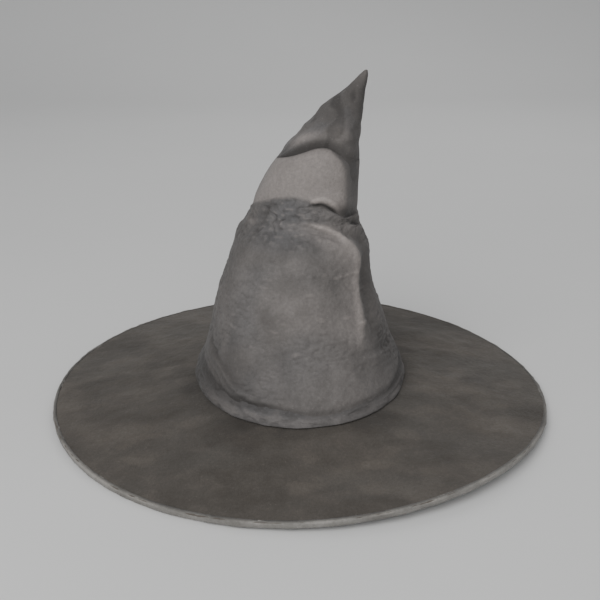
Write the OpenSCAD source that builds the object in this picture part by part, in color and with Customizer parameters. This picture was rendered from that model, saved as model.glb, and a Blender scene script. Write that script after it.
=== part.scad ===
// Soft felt witch hat: a wide wired brim and a tall creased crown that leans to one side.
// The hat stands on its brim edge. +Z is up, -Y is the front of the hat, and the tip leans to +X.
// The crown bends at two folds, the neck fold and the tip fold. At each fold the upper piece ends in
// a round skirt tucked inside the rolled lip of the piece below, so that it can tip about the fold.

/* [Brim] */
// Diameter over the edge binding
brim_d = 430; // [410:5:460]
// Height of the bound edge
edge_h = 4.8; // [4.6:0.1:6]
// Rise of the brim from its edge to the foot of the crown
brim_rise = 16.3; // [10:0.1:22]

/* [Crown] */
// Width of the crown felt at its foot, side to side
foot_w = 179; // [170:1:190]
// Length of the crown felt at its foot, front to back
foot_l = 211.4; // [200:0.2:225]
// Width of the crown at its shoulder, just under the neck fold
shoulder_w = 107; // [104:1:114]
// Height of the neck fold above the ground
neck_z = 157.4; // [150:0.2:170]
// Shift of the neck fold towards the leaning side
neck_x = 2; // [0:0.5:6]
// Distance from the neck fold to the tip fold
middle_len = 59; // [56:0.5:66]
// Lean of the middle piece from upright, in degrees
middle_lean = 12.8; // [8:0.1:14]
// Distance from the tip fold to the point of the tip
tip_len = 75; // [66:1:90]
// Lean of the tip from upright, in degrees
tip_lean = 28; // [22:0.5:30]
// Thickness of the crown felt
felt_t = 2; // [1.5:0.1:2.2]

/* [Base band] */
// Height of the padded band round the foot of the crown
band_h = 13; // [8:0.5:16]
// How far the band stands out from the crown
band_t = 5; // [3:0.5:6]

/* [Inside] */
// Height of the leather sweatband
sweatband_h = 32; // [24:1:40]
// Thickness of the leather sweatband
sweatband_t = 1.2; // [0.8:0.1:1.6]
// Height of the flat top of the lining above the ground
lining_z = 104; // [90:1:106]

/* [Hidden] */

crown_grey = [0.44, 0.42, 0.41];
brim_grey = [0.33, 0.31, 0.29];
edge_grey = [0.58, 0.57, 0.55];
lining_grey = [0.20, 0.20, 0.21];
leather_brown = [0.26, 0.18, 0.13];
thread_grey = [0.50, 0.49, 0.46];

seg = 72;                     // facets round every oval piece
sew_gap = 0.05;               // air between layers that are sewn together
binding_t = 0.6;              // binding tape
top_felt_t = 1.0;
under_felt_t = 0.8;
core_t = edge_h - 2 * binding_t - top_felt_t - under_felt_t;
brim_r = brim_d / 2;
layer_r = brim_r - binding_t - 0.3;      // outer edge of the two felts
core_s = 0.035;                          // the stiffener stops short of the edge, to leave room for the wire
wire_r = 0.6;
wire_ring_r = layer_r - 1.7;
edge_slope = 0.155;                      // how steeply the brim rises just inside its edge
wire_z = edge_h - binding_t - top_felt_t - core_t / 2 + edge_slope * (layer_r - wire_ring_r);
joiner_r = 0.85;
joiner_len = 20;
flange_top = 2.4;                        // width of the binding on top of the brim
flange_under = 8;                        // and underneath, where it is the hat's foot

foot_a = foot_w / 2;
foot_b = foot_l / 2;
foot_z = edge_h + brim_rise;             // where the crown stands on the brim
shoulder_a = shoulder_w / 2;
shoulder_z = neck_z - 7.4;

neck_ball_r = shoulder_a - 4.5;          // outside of the middle piece's tucked skirt
tip_ball_r = 30.5;                       // outside of the tip's tucked skirt
fold_gap = 0.6;                          // air between a skirt and the lip around it
skirt_down = 42;                         // degrees that a skirt reaches below its fold
neck_open = 28;                          // degrees that the middle piece's skirt shows above the neck
lip_t = 1.9;                             // thickness of a rolled lip
tip_point_r = 1.6;                       // rounding of the point

interlining_t = 0.6;
lining_t = 0.5;
interlining_off = felt_t + 0.1;
lining_off = interlining_off + interlining_t + 0.1;
sweat_off = lining_off + lining_t + 0.1;
sweat_in = sweat_off + sweatband_t;
sweat_z = foot_z - 3.9;                  // bottom edge of the sweatband, level with the brim's underside
reed_r = 0.6;

// One horizontal oval ring of points
function oval(a, b, z, x = 0) =
    [for (i = [0:seg - 1]) [x + a * cos(360 * i / seg), b * sin(360 * i / seg), z]];

// Height of the brim's top surface, from the edge (s = 0) to the crown's foot (s = 1)
function brim_z(s) = edge_h - binding_t + (brim_rise + binding_t) * s;

// A ring of the brim between its round edge and the oval foot of the crown
function brim_ring(s, drop) =
    oval(layer_r + (foot_a - felt_t - layer_r) * s,
         layer_r + (foot_b - felt_t - layer_r) * s, brim_z(s) - drop);

// How far up the lower crown a height is, 0 at the foot and 1 at the shoulder
function rise(z) = max(0, (z - foot_z) / (shoulder_z - foot_z));

// A ring of the lower crown at height z, set in from the outside of the felt by off
function crown_ring(z, off) =
    oval(foot_a + (shoulder_a - foot_a) * rise(z) - off,
         foot_b + (shoulder_a - foot_b) * rise(z) - off, z, neck_x * rise(z));

// A round ring inside the lip, on a ball of radius r about the neck fold
function ball_ring(r, z) = oval(sqrt(r * r - pow(z - neck_z, 2)), sqrt(r * r - pow(z - neck_z, 2)), z, neck_x);

// Points of an arc about the origin of a turned profile, by latitude
function arc(r, low, high, n, up = 0) =
    [for (i = [0:n]) let (t = low + (high - low) * i / n) [r * cos(t), up + r * sin(t)]];

// A closed solid from rings listed up the outside and down the inside
module ring_solid(rings) {
    m = len(rings);
    function at(k, i) = (k % m) * seg + (i % seg);
    points = [for (ring = rings) each ring];
    faces = [for (k = [0:m - 1], i = [0:seg - 1], half = [0:1])
        half == 0 ? [at(k, i), at(k + 1, i), at(k + 1, i + 1)]
                  : [at(k, i), at(k + 1, i + 1), at(k, i + 1)]];
    polyhedron(points, faces);
}

// One layer of the brim, a shallow cone from drop to drop + t under the top surface
module brim_layer(s0, drop, t) {
    ring_solid([brim_ring(s0, drop), brim_ring(1, drop), brim_ring(1, drop + t), brim_ring(s0, drop + t)]);
}

// One thin layer inside the lower crown, from z0 to z1
module crown_layer(off, t, z0, z1) {
    steps = 3;
    levels = [for (k = [0:steps]) z0 + (z1 - z0) * k / steps];
    ring_solid(concat(
        [for (k = [0:steps]) crown_ring(levels[k], off)],
        [for (k = [steps:-1:0]) crown_ring(levels[k], off + t)]));
}

// Where the middle piece and the tip stand: +Z along their own lean, origin at their fold
module at_neck() {
    translate([neck_x, 0, neck_z]) rotate([0, middle_lean, 0]) children();
}
module at_tip_fold() {
    at_neck() translate([0, 0, middle_len]) rotate([0, tip_lean - middle_lean, 0]) children();
}

module brim_top_felt() {
    color(brim_grey) brim_layer(0, 0, top_felt_t);
}

module brim_stiffener() {
    color("dimgray") brim_layer(core_s, top_felt_t + sew_gap, core_t - 2 * sew_gap);
}

module brim_under_felt() {
    color(brim_grey) brim_layer(0, top_felt_t + core_t, under_felt_t);
}

module brim_edge_binding() {
    top_in = edge_h + flange_top * edge_slope;
    color(edge_grey) rotate_extrude($fn = 180) polygon([
        [brim_r - flange_under, 0], [brim_r, 0], [brim_r, edge_h], [brim_r - flange_top, top_in],
        [brim_r - flange_top, top_in - binding_t + 0.1], [brim_r - binding_t, edge_h - binding_t + 0.25],
        [brim_r - binding_t, binding_t], [brim_r - flange_under, binding_t]]);
}

// The wire is an open hoop whose two ends meet inside the joiner
module brim_edge_wire() {
    color("silver") rotate([0, 0, 91]) rotate_extrude(angle = 358, $fn = 180)
        translate([wire_ring_r, wire_z]) circle(r = wire_r, $fn = 24);
}

module brim_wire_joiner() {
    sweep = joiner_len / wire_ring_r * 180 / PI;
    color("goldenrod") rotate([0, 0, 90 - sweep / 2]) rotate_extrude(angle = sweep, $fn = 180)
        translate([wire_ring_r, wire_z]) difference() {
            circle(r = joiner_r, $fn = 24);
            circle(r = wire_r + 0.05, $fn = 24);
        }
}

module crown_lower_felt() {
    steps = 4;
    lip_r = neck_ball_r + fold_gap;
    lip_z = neck_z - 3.9;
    wall = [for (k = [0:steps]) foot_z + sew_gap + (shoulder_z - foot_z - sew_gap) * k / steps];
    color(crown_grey) ring_solid(concat(
        [for (z = wall) crown_ring(z, 0)],
        [ball_ring(lip_r + lip_t, lip_z), ball_ring(lip_r, lip_z),
         ball_ring(lip_r, lip_z - 3.5), ball_ring(lip_r, lip_z - 7)],
        [for (k = [steps - 1:-1:0]) crown_ring(wall[k], felt_t)]));
}

module crown_interlining() {
    color("gainsboro") crown_layer(interlining_off, interlining_t, foot_z + sew_gap, lining_z + 8);
}

// A soft roll round the foot: a D-shaped section that follows the crown's wall
module crown_base_band() {
    points = 12;
    color(crown_grey) ring_solid([for (k = [0:points - 1])
        let (t = -90 + 360 * k / points)
        crown_ring(foot_z + 0.3 + band_h / 2 * (1 + sin(t)), -0.1 - band_t / 2 * (1 + cos(t)))]);
}

module lining_side() {
    color(lining_grey) crown_layer(lining_off, lining_t, foot_z + sew_gap, lining_z);
}

module lining_top() {
    color(lining_grey) translate([0, 0, lining_z + sew_gap]) linear_extrude(lining_t)
        polygon([for (p = crown_ring(lining_z + 1, lining_off)) [p[0], p[1]]]);
}

module sweatband() {
    top = sweat_z + sweatband_h;
    color(leather_brown) ring_solid([
        crown_ring(sweat_z, sweat_off), crown_ring(foot_z, sweat_off), crown_ring(top, sweat_off),
        crown_ring(top, sweat_in), crown_ring(foot_z, sweat_in), crown_ring(sweat_z, sweat_in)]);
}

// A thin plastic reed behind the sweatband's lower edge, against the edge of the brim
module sweatband_reed() {
    points = 8;
    middle = (felt_t + sweat_off) / 2;
    color("black") ring_solid([for (k = [0:points - 1])
        let (t = 360 * k / points)
        crown_ring(sweat_z + 1 + reed_r * sin(t), middle - reed_r * cos(t))]);
}

// Middle of facet i on the inside of the sweatband at height z
function facet_middle(i, z) =
    let (ring = crown_ring(z, sweat_in)) (ring[i % seg] + ring[(i + 1) % seg]) / 2;

// Stands children on the inside of the sweatband at facet i, with +X along it and +Y outwards
module on_sweatband(i, z, gap) {
    ring = crown_ring(z, sweat_in);
    edge = ring[i % seg] - ring[(i + 1) % seg];
    climb = facet_middle(i, z + 10) - facet_middle(i, z);
    lean = z < foot_z ? 0 : atan2(norm([climb[0], climb[1]]), climb[2]);
    translate(facet_middle(i, z)) rotate([0, 0, atan2(edge[1], edge[0])]) rotate([lean, 0, 0])
        translate([0, -gap, 0]) children();
}

module sweatband_stitches() {
    color(thread_grey) for (i = [0:seg - 1])
        on_sweatband(i, sweat_z + 2, 0.3) translate([-1.7, 0, 0])
            rotate([0, 90, 0]) cylinder(h = 3.4, r = 0.25, $fn = 16);
}

// A flat bow of narrow ribbon that marks the back of the hat
module sweatband_bow() {
    color("dimgray") on_sweatband(17, sweat_z + 20, 2.2) rotate([0, 0, 2.5]) {
        translate([-2, -1, -2]) cube([4, 2, 4]);
        for (side = [-1, 1])
            translate([side * 6.6, -0.9, 0]) rotate([-90, 0, 0]) linear_extrude(0.9)
                polygon([[side * -4.55, 1.2], [side * -4.55, -1.2],
                         [side * 4, -4], [side * 5, 0], [side * 4, 4]]);
    }
}

// A blank woven tab
module size_label() {
    color("whitesmoke") on_sweatband(11, sweat_z + 16, 0.9) translate([-7, -0.4, -5]) cube([14, 0.4, 10]);
}

module crown_middle_felt() {
    lip_r = tip_ball_r + fold_gap;
    lip_up = 4;      // degrees that the lip's rim is below the tip fold
    color(crown_grey) at_neck() rotate_extrude($fn = 96) polygon(concat(
        arc(neck_ball_r, -skirt_down, neck_open, 10),
        arc(lip_r + lip_t, -12, -lip_up, 2, middle_len),
        arc(lip_r, -lip_up, -20, 3, middle_len),
        arc(neck_ball_r - felt_t, neck_open + 2, -skirt_down, 10)));
}

// A short cone inside the middle piece's wall
module middle_interlining() {
    wall_low = arc(neck_ball_r - felt_t, neck_open + 2, 0, 1)[0];
    wall_high = arc(tip_ball_r + fold_gap, -20, 0, 1, middle_len)[0];
    low = wall_low + (wall_high - wall_low) * 0.12 - [interlining_t + 0.4, 0];
    high = wall_low + (wall_high - wall_low) * 0.7 - [interlining_t + 0.4, 0];
    color("gainsboro") at_neck() rotate_extrude($fn = 96)
        polygon([low, low + [interlining_t, 0], high + [interlining_t, 0], high]);
}

// Latitude where the tip's cone leaves its round skirt
tip_leave = asin((tip_ball_r - tip_point_r) / (tip_len - tip_point_r));

module crown_tip_felt() {
    inner_r = tip_ball_r - felt_t;
    inner_len = tip_len - tip_point_r - felt_t / sin(tip_leave);
    color(crown_grey) at_tip_fold() rotate_extrude($fn = 96) polygon(concat(
        arc(tip_ball_r, -skirt_down, tip_leave, 9),
        arc(tip_point_r, tip_leave, 90, 4, tip_len - tip_point_r),
        [[0, inner_len]],
        arc(inner_r, tip_leave, -skirt_down, 9)));
}

// Soft stuffing that keeps the point full
module tip_wadding() {
    room = tip_ball_r - felt_t - 0.4;
    depth = 8;
    top = tip_len - tip_point_r - (felt_t + 1.2) / sin(tip_leave) - 2;
    color("ivory") at_tip_fold() rotate_extrude($fn = 96) polygon(concat(
        [[0, -depth]], arc(room, -asin(depth / room), tip_leave, 6), [[1, top], [0, top]]));
}

brim_top_felt();
brim_stiffener();
brim_under_felt();
brim_edge_binding();
brim_edge_wire();
brim_wire_joiner();
crown_lower_felt();
crown_interlining();
crown_base_band();
lining_side();
lining_top();
sweatband();
sweatband_reed();
sweatband_stitches();
sweatband_bow();
size_label();
crown_middle_felt();
middle_interlining();
crown_tip_felt();
tip_wadding();
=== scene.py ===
"""Looks of a soft felt witch hat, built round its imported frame.

Lengths in the shape functions are millimetres. Angles go round the hat in degrees: 0 is the side
that the tip leans to, -90 is the wearer's front and 90 the back. Every ring of points runs
anticlockwise seen from above, and every cross-section runs up the outside and down the inside,
so that faces point outwards.
"""
import math

import bmesh
import bpy
import numpy as np
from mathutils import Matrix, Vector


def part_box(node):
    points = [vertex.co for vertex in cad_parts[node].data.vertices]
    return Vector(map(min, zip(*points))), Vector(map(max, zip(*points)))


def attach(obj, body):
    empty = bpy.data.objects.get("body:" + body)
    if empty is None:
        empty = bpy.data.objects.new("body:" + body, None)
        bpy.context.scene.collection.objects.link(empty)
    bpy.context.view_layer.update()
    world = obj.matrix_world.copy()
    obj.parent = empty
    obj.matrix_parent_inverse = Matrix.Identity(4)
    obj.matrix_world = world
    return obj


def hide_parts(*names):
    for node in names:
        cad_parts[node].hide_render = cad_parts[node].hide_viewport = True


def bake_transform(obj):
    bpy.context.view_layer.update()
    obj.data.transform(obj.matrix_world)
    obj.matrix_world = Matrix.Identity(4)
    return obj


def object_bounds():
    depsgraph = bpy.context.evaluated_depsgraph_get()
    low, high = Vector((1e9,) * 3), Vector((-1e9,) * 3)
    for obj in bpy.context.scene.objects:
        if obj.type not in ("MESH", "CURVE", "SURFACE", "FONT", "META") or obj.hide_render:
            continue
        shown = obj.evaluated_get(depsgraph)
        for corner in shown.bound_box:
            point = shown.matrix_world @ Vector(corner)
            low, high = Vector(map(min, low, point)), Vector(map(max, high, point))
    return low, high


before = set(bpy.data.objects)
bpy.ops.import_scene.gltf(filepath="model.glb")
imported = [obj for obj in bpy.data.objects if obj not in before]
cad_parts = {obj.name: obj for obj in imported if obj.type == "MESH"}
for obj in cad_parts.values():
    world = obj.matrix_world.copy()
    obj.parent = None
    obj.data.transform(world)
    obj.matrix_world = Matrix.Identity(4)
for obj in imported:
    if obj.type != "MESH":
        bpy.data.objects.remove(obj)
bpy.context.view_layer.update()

MM = 0.001

# -------- camera, lights and floor

CAMERA_TARGET = (0.0, 0.0, 0.0859)
CAMERA_DISTANCE = 0.8226
CAMERA_HEIGHT_ANGLE = math.radians(21.15)
LENS = 57.09
CROWN_CENTRE = (0, 0, 0.1)


def add_camera():
    """A camera on the -Y side that looks at the target from CAMERA_HEIGHT_ANGLE above the horizon."""
    data = bpy.data.cameras.new("camera")
    data.lens = LENS
    data.sensor_width = 36
    camera = bpy.data.objects.new("camera", data)
    x, y, z = CAMERA_TARGET
    camera.location = (x, y - CAMERA_DISTANCE * math.cos(CAMERA_HEIGHT_ANGLE),
                       z + CAMERA_DISTANCE * math.sin(CAMERA_HEIGHT_ANGLE))
    camera.rotation_euler = (math.pi / 2 - CAMERA_HEIGHT_ANGLE, 0, 0)
    bpy.context.scene.collection.objects.link(camera)
    bpy.context.scene.camera = camera


def add_softbox(name, place, size, power):
    """A square area light at place that faces the crown."""
    data = bpy.data.lights.new(name, "AREA")
    data.size = size
    data.energy = power
    light = bpy.data.objects.new(name, data)
    light.location = place
    aim = np.array(CROWN_CENTRE) - np.array(place)
    yaw = math.atan2(aim[1], aim[0]) - math.pi / 2
    tilt = math.atan2(aim[2], math.hypot(aim[0], aim[1])) + math.pi / 2
    light.rotation_euler = (tilt, 0, yaw)
    bpy.context.scene.collection.objects.link(light)


add_camera()
add_softbox("key_light", (-0.7, -1.2, 1.4), 1.2, 17.2)
add_softbox("front_light", (-0.3, -1.95, 0.75), 1.5, 15)
add_softbox("fill_light", (1.5, -0.5, 0.9), 1.4, 2)
add_softbox("back_light", (0.3, 1.4, 1.3), 1.2, 6)
world = bpy.data.worlds.new("studio")
world.use_nodes = True
world.node_tree.nodes["Background"].inputs["Color"].default_value = (0.92, 0.93, 0.95, 1)
world.node_tree.nodes["Background"].inputs["Strength"].default_value = 0.39
bpy.context.scene.world = world

# -------- materials


class Value:
    """A socket in a material. Arithmetic on it adds Math nodes."""

    def __init__(self, material, socket):
        self.material = material
        self.socket = socket

    def math(self, operation, first, second):
        return self.material.node("ShaderNodeMath", {"operation": operation}, {0: first, 1: second})

    def __add__(self, other):
        return self.math("ADD", self, other)

    def __radd__(self, other):
        return self.math("ADD", other, self)

    def __sub__(self, other):
        return self.math("SUBTRACT", self, other)

    def __rsub__(self, other):
        return self.math("SUBTRACT", other, self)

    def __mul__(self, other):
        return self.math("MULTIPLY", self, other)

    def __rmul__(self, other):
        return self.math("MULTIPLY", other, self)


class Material:
    """A procedural material: one method adds any node, and the rest are short names for common ones."""

    def __init__(self, name, roughness=0.9, metallic=0.0, sheen=0.0, specular=0.3):
        self.data = bpy.data.materials.new(name)
        self.data.use_nodes = True
        self.tree = self.data.node_tree
        self.shader = self.tree.nodes["Principled BSDF"]
        self.shader.inputs["Roughness"].default_value = roughness
        self.shader.inputs["Metallic"].default_value = metallic
        self.shader.inputs["Sheen Weight"].default_value = sheen
        self.shader.inputs["Sheen Roughness"].default_value = 0.45
        self.shader.inputs["Specular IOR Level"].default_value = specular

    def node(self, kind, settings=None, inputs=None, output=0):
        """Adds a node, applies its settings, then sets or links its sockets."""
        new = self.tree.nodes.new(kind)
        for key, value in (settings or {}).items():
            setattr(new, key, value)
        for key, value in (inputs or {}).items():
            self.feed(new.inputs[key], value)
        return Value(self, new.outputs[output])

    def feed(self, socket, value):
        if isinstance(value, Value):
            self.tree.links.new(value.socket, socket)
        elif isinstance(value, tuple) and len(value) == 3 and socket.type == "RGBA":
            socket.default_value = (*value, 1)
        else:
            socket.default_value = value

    def place(self):
        """Object coordinates, in metres."""
        return self.node("ShaderNodeTexCoord", output="Object")

    def painted(self, name):
        """A number stored on the piece's points."""
        return self.node("ShaderNodeAttribute", {"attribute_name": name}, output="Fac")

    def stretch(self, place, scale):
        return self.node("ShaderNodeVectorMath", {"operation": "MULTIPLY"}, {0: place, 1: scale})

    def noise(self, place, scale, detail=4.0, rough=0.55):
        return self.node("ShaderNodeTexNoise", {}, {"Vector": place, "Scale": scale, "Detail": detail,
                                                    "Roughness": rough})

    def ease(self, value, low, high, to_low=0.0, to_high=1.0):
        """Goes smoothly from to_low at low to to_high at high."""
        return self.node("ShaderNodeMapRange", {"interpolation_type": "SMOOTHSTEP"},
                         {"Value": value, "From Min": low, "From Max": high,
                          "To Min": to_low, "To Max": to_high})

    def mix(self, factor, first, second):
        return self.node("ShaderNodeMix", {"data_type": "RGBA"},
                         {0: factor, 6: first, 7: second}, output=2)

    def bump(self, height, distance, strength=1.0, under=None):
        inputs = {"Height": height, "Distance": distance, "Strength": strength}
        if under is not None:
            inputs["Normal"] = under
        return self.node("ShaderNodeBump", {}, inputs)

    def finish(self, colour, normal=None, roughness=None):
        self.feed(self.shader.inputs["Base Color"], colour)
        if normal is not None:
            self.feed(self.shader.inputs["Normal"], normal)
        if roughness is not None:
            self.feed(self.shader.inputs["Roughness"], roughness)
        return self.data


def felt(name, dark, light, cool, fibre=1.0):
    """Worn wool felt: cloudy mottles, short matted fibres, pale rubbed places that also carry painted
    highlights, and grime in the creases that also carries painted shade.
    """
    m = Material(name, roughness=0.95, sheen=0.12, specular=0.18)
    place = m.place()
    cloud = m.ease(m.noise(place, 16, 5, 0.6), 0.34, 0.68)
    blotch = m.ease(m.noise(place, 60, 4, 0.62), 0.36, 0.66)
    speck = m.noise(place, 420, 3, 0.7)
    fibres = m.noise(m.stretch(place, (1.0, 1.6, 0.45)), 1500, 3, 0.65)
    lint = m.ease(m.noise(m.stretch(place, (0.5, 0.5, 1.7)), 900, 2, 0.6), 0.62, 0.78)
    colour = m.mix(cloud * 0.55 + blotch * 0.45, dark, light)
    colour = m.mix(m.painted("cool"), colour, cool)
    # pale is the rubbed tone, also used as a painted highlight on lit crests and faces
    pale = tuple(c * warmth for c, warmth in zip(light, (1.97, 1.9, 1.86)))
    colour = m.mix(m.painted("rubbed_and_highlight"), colour, pale)
    # grime darkens towards a dark tone, which also paints shade in creases and on shaded sides
    colour = m.mix(m.painted("grime_and_shade"), colour, tuple(c * 0.42 for c in dark))
    colour = m.mix((speck - 0.5) * 0.75 + 0.18, colour, tuple(c * 0.5 for c in dark))
    colour = m.mix(lint * 0.22, colour, tuple(min(1.0, c * 1.9) for c in light))
    soft = m.bump(blotch, 0.0012, 0.3)
    nap = m.bump(speck, 0.0010 * fibre, 0.45, soft)
    hair = m.bump(fibres, 0.0004 * fibre, 0.5, nap)
    return m.finish(colour, hair, m.ease(speck, 0.3, 0.7, 0.88, 1.0))


def woven(name, dark, light, pitch, shine=0.1):
    """Plain weave: warp and weft threads of the given pitch in metres, over and under each other."""
    m = Material(name, roughness=0.75, sheen=shine, specular=0.3)
    place = m.place()
    bands = {"wave_type": "BANDS", "wave_profile": "SIN"}
    run = {"Vector": place, "Scale": 1 / (math.pi * pitch), "Distortion": 0.6, "Detail Scale": 2.0}
    warp = m.node("ShaderNodeTexWave", {**bands, "bands_direction": "Z"}, run, output="Fac")
    weft = m.node("ShaderNodeTexWave", {**bands, "bands_direction": "X"}, run, output="Fac")
    slub = m.noise(place, 90, 4)
    weave = warp * 0.5 + weft * 0.5
    colour = m.mix(weave * 0.7 + (slub - 0.5) * 0.8, dark, light)
    return m.finish(colour, m.bump(weave, pitch * 0.3, 0.5), m.ease(slub, 0.3, 0.7, 0.65, 0.85))


def leather():
    """Smooth brown leather: fine cells, a few creases, and darker, shinier places from wear."""
    m = Material("sweatband_leather", roughness=0.5, specular=0.45)
    place = m.place()
    cells = m.node("ShaderNodeTexVoronoi", {"feature": "DISTANCE_TO_EDGE"}, {"Vector": place, "Scale": 900})
    wear = m.noise(place, 35, 5, 0.6)
    colour = m.mix(m.ease(wear, 0.35, 0.7), (0.05, 0.03, 0.018), (0.13, 0.075, 0.042))
    colour = m.mix(m.ease(cells, 0.0, 0.12, 0.45, 0.0), colour, (0.02, 0.012, 0.008))
    grain = m.bump(m.ease(cells, 0.0, 0.3), 0.0003, 0.5)
    creases = m.bump(m.noise(m.stretch(place, (1, 1, 4)), 120, 3), 0.0008, 0.35, grain)
    return m.finish(colour, creases, m.ease(wear, 0.3, 0.75, 0.38, 0.62))


def thread(name, dark, light):
    """Twisted thread: fine slanted stripes."""
    m = Material(name, roughness=0.7, sheen=0.1)
    twist = m.node("ShaderNodeTexWave", {"bands_direction": "DIAGONAL"},
                   {"Vector": m.place(), "Scale": 900.0, "Distortion": 1.0}, output="Fac")
    return m.finish(m.mix(twist, dark, light), m.bump(twist, 0.0002, 0.5))


def metal(name, dark, light, roughness):
    """Drawn wire or tube: fine streaks and dull spots."""
    m = Material(name, roughness=roughness, metallic=1.0)
    dull = m.noise(m.place(), 260, 4)
    return m.finish(m.mix(dull, dark, light), m.bump(dull, 0.0001, 0.4),
                    m.ease(dull, 0.3, 0.7, roughness - 0.1, roughness + 0.15))


def foam(name, dark, light):
    """Pressed foam or fibre: small pits."""
    m = Material(name, roughness=0.85)
    pits = m.node("ShaderNodeTexVoronoi", {}, {"Vector": m.place(), "Scale": 500.0})
    patch = m.noise(m.place(), 80, 4)
    return m.finish(m.mix(patch, dark, light), m.bump(pits, 0.0005, 0.5))


CROWN_DARK = (0.118, 0.110, 0.105)
CROWN_LIGHT = (0.192, 0.178, 0.170)
CROWN_COOL = (0.142, 0.146, 0.156)
BRIM_DARK = (0.078, 0.069, 0.060)
BRIM_LIGHT = (0.115, 0.103, 0.090)
BRIM_COOL = (0.094, 0.088, 0.080)

crown_felt = felt("crown_felt", CROWN_DARK, CROWN_LIGHT, CROWN_COOL)
brim_felt = felt("brim_felt", BRIM_DARK, BRIM_LIGHT, BRIM_COOL)
edge_felt = felt("edge_binding_felt", (0.16, 0.152, 0.14), (0.29, 0.28, 0.262), (0.2, 0.2, 0.2), 1.4)
lining_weave = woven("lining_weave", (0.020, 0.020, 0.023), (0.060, 0.060, 0.068), 0.0011, 0.2)
canvas = woven("interlining_canvas", (0.38, 0.37, 0.34), (0.66, 0.65, 0.60), 0.0014)
band_leather = leather()
waxed_thread = thread("waxed_thread", (0.16, 0.15, 0.12), (0.36, 0.34, 0.29))
grosgrain = woven("ribbon_grosgrain", (0.02, 0.02, 0.024), (0.07, 0.07, 0.08), 0.0008, 0.2)
label_weave = woven("label_weave", (0.46, 0.45, 0.42), (0.72, 0.71, 0.67), 0.0006)
spring_steel = metal("spring_steel", (0.42, 0.42, 0.43), (0.66, 0.66, 0.67), 0.35)
joiner_brass = metal("joiner_brass", (0.48, 0.34, 0.15), (0.76, 0.58, 0.30), 0.35)
stiffener_foam = foam("stiffener_foam", (0.05, 0.05, 0.05), (0.10, 0.10, 0.10))
reed_plastic = foam("reed_plastic", (0.02, 0.02, 0.02), (0.04, 0.04, 0.04))
wadding_fibre = foam("wadding_fibre", (0.60, 0.59, 0.55), (0.85, 0.84, 0.80))


def paint_node(name, material):
    """Gives a CAD node that stays in view a material of its own."""
    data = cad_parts[name].data
    data.materials.clear()
    data.materials.append(material)


# -------- making meshes


def make_piece(name, points, faces, material, body=None, painted=None):
    """A mesh from an array of points in millimetres and an array of four-cornered faces. painted is how
    rubbed, how grimy and how cool in tone the felt is at each point, from 0 to 1; the rubbed values also
    hold painted highlights and the grime values painted shade."""
    mesh = bpy.data.meshes.new(name)
    mesh.from_pydata((points * MM).tolist(), [], faces.tolist())
    mesh.polygons.foreach_set("use_smooth", np.full(len(mesh.polygons), True))
    for label, values in zip(("rubbed_and_highlight", "grime_and_shade", "cool"), painted or ()):
        layer = mesh.attributes.new(label, "FLOAT", "POINT")
        layer.data.foreach_set("value", np.clip(values, 0, 1).astype(np.float32).ravel())
    mesh.materials.append(material)
    mesh.update()
    piece = bpy.data.objects.new(name, mesh)
    bpy.context.scene.collection.objects.link(piece)
    if body:
        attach(piece, body)
    return piece


def grid_faces(n, m, close_across):
    """Faces of an n by m grid of points, closed in its first direction and, if asked, in its second."""
    i, j = np.meshgrid(np.arange(n), np.arange(m if close_across else m - 1), indexing="ij")
    right, up = (i + 1) % n, (j + 1) % m
    return np.stack([i * m + j, right * m + j, right * m + up, i * m + up], -1).reshape(-1, 4)


def ring_piece(name, points, material, body=None, painted=None, rest=(0, 0, 0), close_across=True):
    """A piece from points[angle, place in the cross-section]: a closed ring with a closed section. Where
    painted covers only the first places of the section, the others take the values in rest."""
    n, m = points.shape[:2]
    if painted:
        painted = [np.hstack([p, np.full((n, m - p.shape[1]), end)]) for p, end in zip(painted, rest)]
    return make_piece(name, points.reshape(-1, 3), grid_faces(n, m, close_across), material, body, painted)


def close_poles(piece):
    """Joins the points that meet at a pole, so that the surface is closed there."""
    work = bmesh.new()
    work.from_mesh(piece.data)
    bmesh.ops.remove_doubles(work, verts=work.verts, dist=1e-6)
    work.to_mesh(piece.data)
    work.free()
    return piece


def turns(count):
    """Angles of a whole turn in degrees, from -180."""
    return np.arange(count) * 360 / count - 180


def over_grid(columns, rows):
    """The angles of a whole turn and the given row values, each as a full grid of points."""
    return [values.copy() for values in np.broadcast_arrays(turns(columns)[:, None], rows)]


def xyz(x, y, z):
    """Points from three arrays of coordinates."""
    return np.stack(np.broadcast_arrays(x, y, z), -1)


def ellipse(angle, rx, ry, z):
    """Points on ellipses round the middle of the hat."""
    t = np.radians(angle)
    return xyz(rx * np.cos(t), ry * np.sin(t), z)


def curve_through(x, knots):
    """A smooth curve through (x, value) knots: cubic pieces that share the mean slope at each knot."""
    at, value = np.array(knots, float).T
    step = np.diff(at)
    rise = np.diff(value) / step
    slope = np.concatenate([rise[:1], (rise[:-1] + rise[1:]) / 2, rise[-1:]])
    i = np.clip(np.searchsorted(at, x) - 1, 0, len(step) - 1)
    t = np.clip((x - at[i]) / step[i], 0, 1)
    h = step[i]
    return ((2 * t**3 - 3 * t**2 + 1) * value[i] + (t**3 - 2 * t**2 + t) * h * slope[i]
            + (3 * t**2 - 2 * t**3) * value[i + 1] + (t**3 - t**2) * h * slope[i + 1])


def apart(angle, centre):
    """Signed angle from centre, between -180 and 180."""
    return (angle - centre + 180) % 360 - 180


def hill(x, centre, width):
    """A bell of height 1: exp of minus the square of the distance over the width."""
    return np.exp(-((x - centre) / width) ** 2)


def side_hill(angle, centre, width):
    """The same bell round the hat."""
    return hill(apart(angle, centre), 0, width)


def ease(x, low, high):
    """0 before low, 1 after high, and 3t^2 - 2t^3 between."""
    t = np.clip((x - low) / (high - low), 0, 1)
    return t * t * (3 - 2 * t)


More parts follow.
